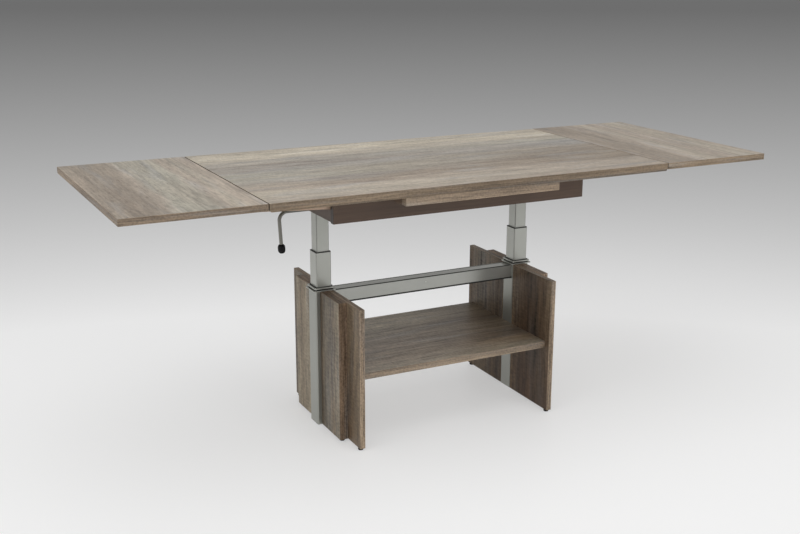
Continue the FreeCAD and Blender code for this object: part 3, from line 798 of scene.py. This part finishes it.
def beech():
    """Steamed beech, lacquered: pinkish, straight grain along the table with short dark flecks."""
    material, tree, shader = new_finish("beech", {})
    place = place_of(tree)
    grain = spots(tree, place, (4, 160, 160), 3)
    flecks = graded(tree, spots(tree, place, (160, 1500, 1500), 1), 0.6, 0.7, 0, 0.5)
    plain = mixed(tree, grain, tone(186, 158, 136), tone(212, 188, 166))
    tree.links.new(mixed(tree, flecks, plain, tone(150, 118, 96)), shader.inputs["Base Color"])
    handled(tree, shader, dull=0.42, spread=0.2)
    raised(tree, shader, grain, depth=0.00005)
    return material


def screw_heads(side_name, side):
    """Countersunk heads in the runners: rings that rise from the rim to a low dome and sink into a
    recess, whose radius swells four times in a turn, so that it is a cross."""
    angle = np.linspace(0, 2 * np.pi, screw_sides, endpoint=False)
    lobes = recess_mean + recess_swell * np.cos(4 * angle) ** 3
    shares = np.array([1.0, 1.0, 0.86, 0.5, 0.36, 0.10])[:, None]
    drops = np.array([-1.2, 0.35, 1.0, 1.0, -0.6, -1.6])[:, None] * screw_dome
    radius = screw_radius * shares * np.where(shares < recess_share, lobes, 1.0)
    head = np.stack([radius * np.cos(angle), -radius * np.sin(angle), -drops + 0 * radius], axis=-1)
    slope = joint_axis("right_leaf_draw")
    sets = []
    for end in ("front", "back"):
        low, high = corners_of(f"{side_name}_{end}_runner")
        heel = min(abs(low[0]), abs(high[0])) + runner_tip_length
        for reach in screw_reaches:
            level = low[2] + slope[2] / slope[0] * (reach - heel)
            sets.append(head + [side * reach, (low[1] + high[1]) / 2, level])
    name = side_name + "_runner_screws"
    return skinned(name, np.stack(sets), "drawn_leaf_" + side_name, zinc)


runner_wood = beech()
# The left leaf's edges take the pale band: painted light where the left lamp falls on them.
leaf_bands = {"left": "pale", "right": "warm"}
leaf_streaks = {"left": ("fawn drab drab drab drab rose sage sage sage sage rose sand rose rose",),
                "right": ("fawn drab drab fawn rose sand rose rose sand sand rose",)}
for side_name, side in (("left", -1), ("right", 1)):
    for piece in ("front_runner", "back_runner", "runner_stops"):
        repainted(runner_wood, f"{side_name}_{piece}")
    screw_heads(side_name, side)
    leaf = side_name + "_leaf"
    shift = leaf_shift + leaf_shift_step * side
    decor = driftwood(leaf, "y", "x", leaf_streaks[side_name], shift, leaf_bands[side_name])
    eased_board(leaf, "drawn_leaf_" + side_name, decor)

# Top: a loose decor board, grain along the table, bevelled under its ends so that the leaves slide
# below it. Four beech pegs underneath drop into the centre board.
top_bevel = 0.004
top_shift = 60.0
# The top's end faces take painted shade, so the seams beside the leaves look dark.
top_end_shade = 0.75
top_streaks = ("rose sand sand rose fawn mist sage sage mist drab mist sand cream cream sand",
               "fawn rose rose drab hazel hazel drab drab mist mist sage sand cream cream sand")
repainted(runner_wood, "top_pegs")
top_decor = driftwood("main_top", "x", "y", top_streaks, top_shift, end_shade=top_end_shade)
eased_board("main_top", "loose_top", top_decor, top_bevel)

# Studio: a plain pale floor that falls off to grey with distance, a wide soft lamp overhead, smaller
# ones at the left and in front, and the camera where the photographer stood.
floor_reach = 60.0
floor_drop = 0.0004
floor_fade = 3.0
floor_glow_share = 0.46
floor_side_share = 0.45
floor_bright = 1.22
far_grey = 0.145
near_pale = 0.935
room_light = 0.62
room_backdrop = 0.5
room_ceiling = 0.05
view_turn = math.radians(-26.892)
view_tilt = math.radians(74.225)
view_roll = math.radians(0.179)
camera_place = (-1.5207, -2.8517, 1.3429)
image_width = 800
focal_pixels = 1139.39
sensor_width = 36.0


def seen_directly(tree):
    """1 for what the camera sees, also in a reflection or through glass."""
    path = node(tree, "LightPath").outputs
    mirrored = calc(tree, "MAXIMUM", path["Is Glossy Ray"], path["Is Transmission Ray"])
    return calc(tree, "MAXIMUM", path["Is Camera Ray"], mirrored)


def pale_floor():
    """Satin paint, pale near the table and greyer with distance. Part of it glows to the camera, so
    that shadows are faint, and from below the camera sees through it."""
    material, tree, shader = new_finish("pale_floor", {"Roughness": 0.35, "Specular IOR Level": 0.3})
    turning = {0: place_of(tree), "Angle": -view_turn}
    turned_place = node(tree, "VectorRotate", turning, rotation_type="Z_AXIS").outputs[0]
    squeezed = {0: turned_place, 1: (floor_side_share, 1, 1)}
    oval = node(tree, "VectorMath", squeezed, operation="MULTIPLY").outputs[0]
    away = node(tree, "VectorMath", {0: oval}, operation="LENGTH").outputs["Value"]
    fade = calc(tree, "DIVIDE", floor_fade * floor_bright, calc(tree, "ADD", away, floor_fade))
    level = graded(tree, fade, far_grey, near_pale, far_grey, near_pale)
    tree.links.new(level, shader.inputs["Base Color"])
    glow = node(tree, "Emission", {"Color": level}).outputs[0]
    share = calc(tree, "MULTIPLY", seen_directly(tree), floor_glow_share)
    surface = node(tree, "MixShader", {0: share, 1: shader.outputs[0], 2: glow}).outputs[0]
    below = node(tree, "NewGeometry").outputs["Backfacing"]
    open_below = calc(tree, "MULTIPLY", below, node(tree, "LightPath").outputs["Is Camera Ray"])
    clear = node(tree, "BsdfTransparent").outputs[0]
    whole = node(tree, "MixShader", {0: open_below, 1: surface, 2: clear}).outputs[0]
    tree.links.new(whole, tree.nodes["Material Output"].inputs["Surface"])
    return material


def studio_floor():
    """A level square sheet just under the glides."""
    corners = floor_reach * np.array([[-1, -1, 0], [1, -1, 0], [1, 1, 0], [-1, 1, 0]])
    mesh = bpy.data.meshes.new("studio_floor")
    mesh.from_pydata((corners - [0, 0, floor_drop]).tolist(), [], [(0, 1, 2, 3)])
    mesh.materials.append(pale_floor())
    floor = bpy.data.objects.new("studio_floor", mesh)
    bpy.context.scene.collection.objects.link(floor)


def soft_lamp(name, place, aim, size, watts, shows=True):
    """A square soft lamp that faces a point, and may be kept out of reflections."""
    lamp = bpy.data.lights.new(name, "AREA")
    lamp.size = size
    lamp.energy = watts
    holder = bpy.data.objects.new(name, lamp)
    holder.location = place
    holder.rotation_euler = (Vector(place) - Vector(aim)).to_track_quat("Z", "Y").to_euler()
    holder.visible_glossy = shows
    bpy.context.scene.collection.objects.link(holder)


studio_floor()
soft_lamp("overhead_lamp", (-0.3, -0.4, 2.9), (0, 0, 0.5), size=3.0, watts=30)
soft_lamp("left_lamp", (-3.4, -0.8, 1.7), (0, 0, 0.4), size=2.0, watts=22)
soft_lamp("front_lamp", (1.0, -3.5, 1.6), (0, 0, 0.4), size=2.0, watts=34, shows=False)
world = bpy.data.worlds.new("studio")
world.use_nodes = True
sky = world.node_tree.nodes["Background"]
sky.inputs["Color"].default_value = tone(240, 240, 240)
room = world.node_tree
upward = split(room, node(room, "TexCoord").outputs["Generated"])["Z"]
reflected = graded(room, upward, 0.35, 0.75, room_backdrop, room_ceiling)
around = node(room, "Mix", {0: seen_directly(room), 2: room_light, 3: reflected}).outputs[0]
viewed = graded(room, upward, 0.0, 0.3, far_grey, room_backdrop)
direct = node(room, "LightPath").outputs["Is Camera Ray"]
strength = node(room, "Mix", {0: direct, 2: around, 3: viewed}).outputs[0]
room.links.new(strength, sky.inputs["Strength"])
scene = bpy.context.scene
scene.world = world
lens = bpy.data.cameras.new("camera")
lens.sensor_width = sensor_width
lens.lens = focal_pixels / image_width * sensor_width
camera = bpy.data.objects.new("camera", lens)
aim = Matrix.Rotation(view_turn, 4, "Z") @ Matrix.Rotation(view_tilt, 4, "X")
roll = Matrix.Rotation(view_roll, 4, "Z")
camera.matrix_world = Matrix.Translation(camera_place) @ aim @ roll
scene.collection.objects.link(camera)
scene.camera = camera
scene.view_settings.view_transform = "Standard"
